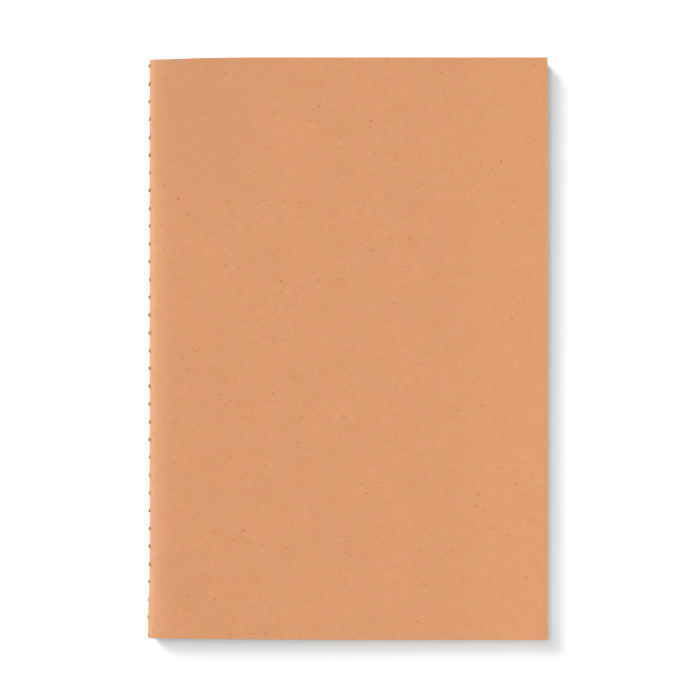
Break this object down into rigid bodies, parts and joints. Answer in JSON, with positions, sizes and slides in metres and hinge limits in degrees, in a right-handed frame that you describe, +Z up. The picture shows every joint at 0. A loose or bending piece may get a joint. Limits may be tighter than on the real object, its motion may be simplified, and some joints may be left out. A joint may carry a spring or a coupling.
{
  "type": "notebook",
  "caption": "Plain softcover notebook: a folded kraft card cover round nested paper sheets, thread-sewn along the spine, opening flat for writing.",
  "frame": {"origin": "middle of the closed notebook's footprint, on the surface it lies on", "axes": "+X from the spine to the fore edge, +Y to the head, +Z up out of the front cover"},
  "size_m": [0.1444, 0.21, 0.0056],
  "materials": {
    "kraft_card": "matte uncoated",
    "text_paper": "matte uncoated",
    "sewing_thread": "twisted thread"
  },
  "bodies": {
    "back_cover": {"back_cover": "kraft_card"},
    "spine": {"cover_spine": "kraft_card", "sheet_01_fold": "text_paper", "sheet_02_fold": "text_paper", "sheet_03_fold": "text_paper", "sheet_04_fold": "text_paper", "sheet_05_fold": "text_paper", "sheet_06_fold": "text_paper", "sheet_07_fold": "text_paper", "sheet_08_fold": "text_paper", "sheet_09_fold": "text_paper", "sheet_10_fold": "text_paper", "sheet_11_fold": "text_paper", "sheet_12_fold": "text_paper", "sheet_13_fold": "text_paper", "sheet_14_fold": "text_paper", "sheet_15_fold": "text_paper", "sheet_16_fold": "text_paper", "outer_thread": "sewing_thread", "inner_thread": "sewing_thread"},
    "front_cover": {"front_cover": "kraft_card"},
    "sheet_01_front_leaf": {"sheet_01_front_leaf": "text_paper"},
    "sheet_01_back_leaf": {"sheet_01_back_leaf": "text_paper"},
    "sheet_02_front_leaf": {"sheet_02_front_leaf": "text_paper"},
    "sheet_02_back_leaf": {"sheet_02_back_leaf": "text_paper"},
    "sheet_03_front_leaf": {"sheet_03_front_leaf": "text_paper"},
    "sheet_03_back_leaf": {"sheet_03_back_leaf": "text_paper"},
    "sheet_04_front_leaf": {"sheet_04_front_leaf": "text_paper"},
    "sheet_04_back_leaf": {"sheet_04_back_leaf": "text_paper"},
    "sheet_05_front_leaf": {"sheet_05_front_leaf": "text_paper"},
    "sheet_05_back_leaf": {"sheet_05_back_leaf": "text_paper"},
    "sheet_06_front_leaf": {"sheet_06_front_leaf": "text_paper"},
    "sheet_06_back_leaf": {"sheet_06_back_leaf": "text_paper"},
    "sheet_07_front_leaf": {"sheet_07_front_leaf": "text_paper"},
    "sheet_07_back_leaf": {"sheet_07_back_leaf": "text_paper"},
    "sheet_08_front_leaf": {"sheet_08_front_leaf": "text_paper"},
    "sheet_08_back_leaf": {"sheet_08_back_leaf": "text_paper"},
    "sheet_09_front_leaf": {"sheet_09_front_leaf": "text_paper"},
    "sheet_09_back_leaf": {"sheet_09_back_leaf": "text_paper"},
    "sheet_10_front_leaf": {"sheet_10_front_leaf": "text_paper"},
    "sheet_10_back_leaf": {"sheet_10_back_leaf": "text_paper"},
    "sheet_11_front_leaf": {"sheet_11_front_leaf": "text_paper"},
    "sheet_11_back_leaf": {"sheet_11_back_leaf": "text_paper"},
    "sheet_12_front_leaf": {"sheet_12_front_leaf": "text_paper"},
    "sheet_12_back_leaf": {"sheet_12_back_leaf": "text_paper"},
    "sheet_13_front_leaf": {"sheet_13_front_leaf": "text_paper"},
    "sheet_13_back_leaf": {"sheet_13_back_leaf": "text_paper"},
    "sheet_14_front_leaf": {"sheet_14_front_leaf": "text_paper"},
    "sheet_14_back_leaf": {"sheet_14_back_leaf": "text_paper"},
    "sheet_15_front_leaf": {"sheet_15_front_leaf": "text_paper"},
    "sheet_15_back_leaf": {"sheet_15_back_leaf": "text_paper"},
    "sheet_16_front_leaf": {"sheet_16_front_leaf": "text_paper"},
    "sheet_16_back_leaf": {"sheet_16_back_leaf": "text_paper"}
  },
  "joints": [
    {"name": "spine_fold", "type": "hinge", "parent": "back_cover", "child": "spine", "pos_m": [-0.07107, 0, 0.00074], "axis": [0, -1, 0], "range_deg": [0, 90], "deforming": ["cover_spine", "sheet_01_fold", "sheet_02_fold", "sheet_03_fold", "sheet_04_fold", "sheet_05_fold", "sheet_06_fold", "sheet_07_fold", "sheet_08_fold", "sheet_09_fold", "sheet_10_fold", "sheet_11_fold", "sheet_12_fold", "sheet_13_fold", "sheet_14_fold", "sheet_15_fold", "sheet_16_fold"]},
    {"name": "front_cover_fold", "type": "hinge", "parent": "spine", "child": "front_cover", "pos_m": [-0.07107, 0, 0.00484], "axis": [0, -1, 0], "range_deg": [0, 90]},
    {"name": "sheet_01_front_fold", "type": "hinge", "parent": "spine", "child": "sheet_01_front_leaf", "pos_m": [-0.06922, 0, 0.00299], "axis": [0, -1, 0], "range_deg": [0, 84.5]},
    {"name": "sheet_01_back_fold", "type": "hinge", "parent": "spine", "child": "sheet_01_back_leaf", "pos_m": [-0.06922, 0, 0.00259], "axis": [0, 1, 0], "range_deg": [0, 86]},
    {"name": "sheet_02_front_fold", "type": "hinge", "parent": "spine", "child": "sheet_02_front_leaf", "pos_m": [-0.06933, 0, 0.0031], "axis": [0, -1, 0], "range_deg": [0, 84.85]},
    {"name": "sheet_02_back_fold", "type": "hinge", "parent": "spine", "child": "sheet_02_back_leaf", "pos_m": [-0.06933, 0, 0.00248], "axis": [0, 1, 0], "range_deg": [0, 86.25]},
    {"name": "sheet_03_front_fold", "type": "hinge", "parent": "spine", "child": "sheet_03_front_leaf", "pos_m": [-0.06944, 0, 0.00321], "axis": [0, -1, 0], "range_deg": [0, 85.19]},
    {"name": "sheet_03_back_fold", "type": "hinge", "parent": "spine", "child": "sheet_03_back_leaf", "pos_m": [-0.06944, 0, 0.00237], "axis": [0, 1, 0], "range_deg": [0, 86.51]},
    {"name": "sheet_04_front_fold", "type": "hinge", "parent": "spine", "child": "sheet_04_front_leaf", "pos_m": [-0.06955, 0, 0.00332], "axis": [0, -1, 0], "range_deg": [0, 85.54]},
    {"name": "sheet_04_back_fold", "type": "hinge", "parent": "spine", "child": "sheet_04_back_leaf", "pos_m": [-0.06955, 0, 0.00226], "axis": [0, 1, 0], "range_deg": [0, 86.76]},
    {"name": "sheet_05_front_fold", "type": "hinge", "parent": "spine", "child": "sheet_05_front_leaf", "pos_m": [-0.06966, 0, 0.00343], "axis": [0, -1, 0], "range_deg": [0, 85.89]},
    {"name": "sheet_05_back_fold", "type": "hinge", "parent": "spine", "child": "sheet_05_back_leaf", "pos_m": [-0.06966, 0, 0.00215], "axis": [0, 1, 0], "range_deg": [0, 87.01]},
    {"name": "sheet_06_front_fold", "type": "hinge", "parent": "spine", "child": "sheet_06_front_leaf", "pos_m": [-0.06977, 0, 0.00354], "axis": [0, -1, 0], "range_deg": [0, 86.23]},
    {"name": "sheet_06_back_fold", "type": "hinge", "parent": "spine", "child": "sheet_06_back_leaf", "pos_m": [-0.06977, 0, 0.00204], "axis": [0, 1, 0], "range_deg": [0, 87.27]},
    {"name": "sheet_07_front_fold", "type": "hinge", "parent": "spine", "child": "sheet_07_front_leaf", "pos_m": [-0.06988, 0, 0.00365], "axis": [0, -1, 0], "range_deg": [0, 86.58]},
    {"name": "sheet_07_back_fold", "type": "hinge", "parent": "spine", "child": "sheet_07_back_leaf", "pos_m": [-0.06988, 0, 0.00193], "axis": [0, 1, 0], "range_deg": [0, 87.52]},
    {"name": "sheet_08_front_fold", "type": "hinge", "parent": "spine", "child": "sheet_08_front_leaf", "pos_m": [-0.06999, 0, 0.00376], "axis": [0, -1, 0], "range_deg": [0, 86.93]},
    {"name": "sheet_08_back_fold", "type": "hinge", "parent": "spine", "child": "sheet_08_back_leaf", "pos_m": [-0.06999, 0, 0.00182], "axis": [0, 1, 0], "range_deg": [0, 87.77]},
    {"name": "sheet_09_front_fold", "type": "hinge", "parent": "spine", "child": "sheet_09_front_leaf", "pos_m": [-0.0701, 0, 0.00387], "axis": [0, -1, 0], "range_deg": [0, 87.27]},
    {"name": "sheet_09_back_fold", "type": "hinge", "parent": "spine", "child": "sheet_09_back_leaf", "pos_m": [-0.0701, 0, 0.00171], "axis": [0, 1, 0], "range_deg": [0, 88.03]},
    {"name": "sheet_10_front_fold", "type": "hinge", "parent": "spine", "child": "sheet_10_front_leaf", "pos_m": [-0.07021, 0, 0.00398], "axis": [0, -1, 0], "range_deg": [0, 87.62]},
    {"name": "sheet_10_back_fold", "type": "hinge", "parent": "spine", "child": "sheet_10_back_leaf", "pos_m": [-0.07021, 0, 0.0016], "axis": [0, 1, 0], "range_deg": [0, 88.28]},
    {"name": "sheet_11_front_fold", "type": "hinge", "parent": "spine", "child": "sheet_11_front_leaf", "pos_m": [-0.07032, 0, 0.00409], "axis": [0, -1, 0], "range_deg": [0, 87.97]},
    {"name": "sheet_11_back_fold", "type": "hinge", "parent": "spine", "child": "sheet_11_back_leaf", "pos_m": [-0.07032, 0, 0.00149], "axis": [0, 1, 0], "range_deg": [0, 88.53]},
    {"name": "sheet_12_front_fold", "type": "hinge", "parent": "spine", "child": "sheet_12_front_leaf", "pos_m": [-0.07043, 0, 0.0042], "axis": [0, -1, 0], "range_deg": [0, 88.31]},
    {"name": "sheet_12_back_fold", "type": "hinge", "parent": "spine", "child": "sheet_12_back_leaf", "pos_m": [-0.07043, 0, 0.00138], "axis": [0, 1, 0], "range_deg": [0, 88.79]},
    {"name": "sheet_13_front_fold", "type": "hinge", "parent": "spine", "child": "sheet_13_front_leaf", "pos_m": [-0.07054, 0, 0.00431], "axis": [0, -1, 0], "range_deg": [0, 88.66]},
    {"name": "sheet_13_back_fold", "type": "hinge", "parent": "spine", "child": "sheet_13_back_leaf", "pos_m": [-0.07054, 0, 0.00127], "axis": [0, 1, 0], "range_deg": [0, 89.04]},
    {"name": "sheet_14_front_fold", "type": "hinge", "parent": "spine", "child": "sheet_14_front_leaf", "pos_m": [-0.07065, 0, 0.00442], "axis": [0, -1, 0], "range_deg": [0, 89.01]},
    {"name": "sheet_14_back_fold", "type": "hinge", "parent": "spine", "child": "sheet_14_back_leaf", "pos_m": [-0.07065, 0, 0.00116], "axis": [0, 1, 0], "range_deg": [0, 89.29]},
    {"name": "sheet_15_front_fold", "type": "hinge", "parent": "spine", "child": "sheet_15_front_leaf", "pos_m": [-0.07076, 0, 0.00453], "axis": [0, -1, 0], "range_deg": [0, 89.35]},
    {"name": "sheet_15_back_fold", "type": "hinge", "parent": "spine", "child": "sheet_15_back_leaf", "pos_m": [-0.07076, 0, 0.00105], "axis": [0, 1, 0], "range_deg": [0, 89.55]},
    {"name": "sheet_16_front_fold", "type": "hinge", "parent": "spine", "child": "sheet_16_front_leaf", "pos_m": [-0.07087, 0, 0.00464], "axis": [0, -1, 0], "range_deg": [0, 89.7]},
    {"name": "sheet_16_back_fold", "type": "hinge", "parent": "spine", "child": "sheet_16_back_leaf", "pos_m": [-0.07087, 0, 0.00094], "axis": [0, 1, 0], "range_deg": [0, 89.8]}
  ],
  "couplings": [
    {"joint": "front_cover_fold", "follows": "spine_fold", "ratio": 1},
    {"joint": "sheet_01_front_fold", "follows": "spine_fold", "ratio": 0.93889},
    {"joint": "sheet_01_back_fold", "follows": "spine_fold", "ratio": 0.95556},
    {"joint": "sheet_02_front_fold", "follows": "spine_fold", "ratio": 0.94274},
    {"joint": "sheet_02_back_fold", "follows": "spine_fold", "ratio": 0.95837},
    {"joint": "sheet_03_front_fold", "follows": "spine_fold", "ratio": 0.94659},
    {"joint": "sheet_03_back_fold", "follows": "spine_fold", "ratio": 0.96119},
    {"joint": "sheet_04_front_fold", "follows": "spine_fold", "ratio": 0.95044},
    {"joint": "sheet_04_back_fold", "follows": "spine_fold", "ratio": 0.964},
    {"joint": "sheet_05_front_fold", "follows": "spine_fold", "ratio": 0.9543},
    {"joint": "sheet_05_back_fold", "follows": "spine_fold", "ratio": 0.96681},
    {"joint": "sheet_06_front_fold", "follows": "spine_fold", "ratio": 0.95814},
    {"joint": "sheet_06_back_fold", "follows": "spine_fold", "ratio": 0.96963},
    {"joint": "sheet_07_front_fold", "follows": "spine_fold", "ratio": 0.962},
    {"joint": "sheet_07_back_fold", "follows": "spine_fold", "ratio": 0.97244},
    {"joint": "sheet_08_front_fold", "follows": "spine_fold", "ratio": 0.96586},
    {"joint": "sheet_08_back_fold", "follows": "spine_fold", "ratio": 0.97525},
    {"joint": "sheet_09_front_fold", "follows": "spine_fold", "ratio": 0.9697},
    {"joint": "sheet_09_back_fold", "follows": "spine_fold", "ratio": 0.97808},
    {"joint": "sheet_10_front_fold", "follows": "spine_fold", "ratio": 0.97355},
    {"joint": "sheet_10_back_fold", "follows": "spine_fold", "ratio": 0.98089},
    {"joint": "sheet_11_front_fold", "follows": "spine_fold", "ratio": 0.97741},
    {"joint": "sheet_11_back_fold", "follows": "spine_fold", "ratio": 0.9837},
    {"joint": "sheet_12_front_fold", "follows": "spine_fold", "ratio": 0.98125},
    {"joint": "sheet_12_back_fold", "follows": "spine_fold", "ratio": 0.98652},
    {"joint": "sheet_13_front_fold", "follows": "spine_fold", "ratio": 0.98511},
    {"joint": "sheet_13_back_fold", "follows": "spine_fold", "ratio": 0.98933},
    {"joint": "sheet_14_front_fold", "follows": "spine_fold", "ratio": 0.98897},
    {"joint": "sheet_14_back_fold", "follows": "spine_fold", "ratio": 0.99214},
    {"joint": "sheet_15_front_fold", "follows": "spine_fold", "ratio": 0.99281},
    {"joint": "sheet_15_back_fold", "follows": "spine_fold", "ratio": 0.99497},
    {"joint": "sheet_16_front_fold", "follows": "spine_fold", "ratio": 0.99667},
    {"joint": "sheet_16_back_fold", "follows": "spine_fold", "ratio": 0.99778}
  ]
}
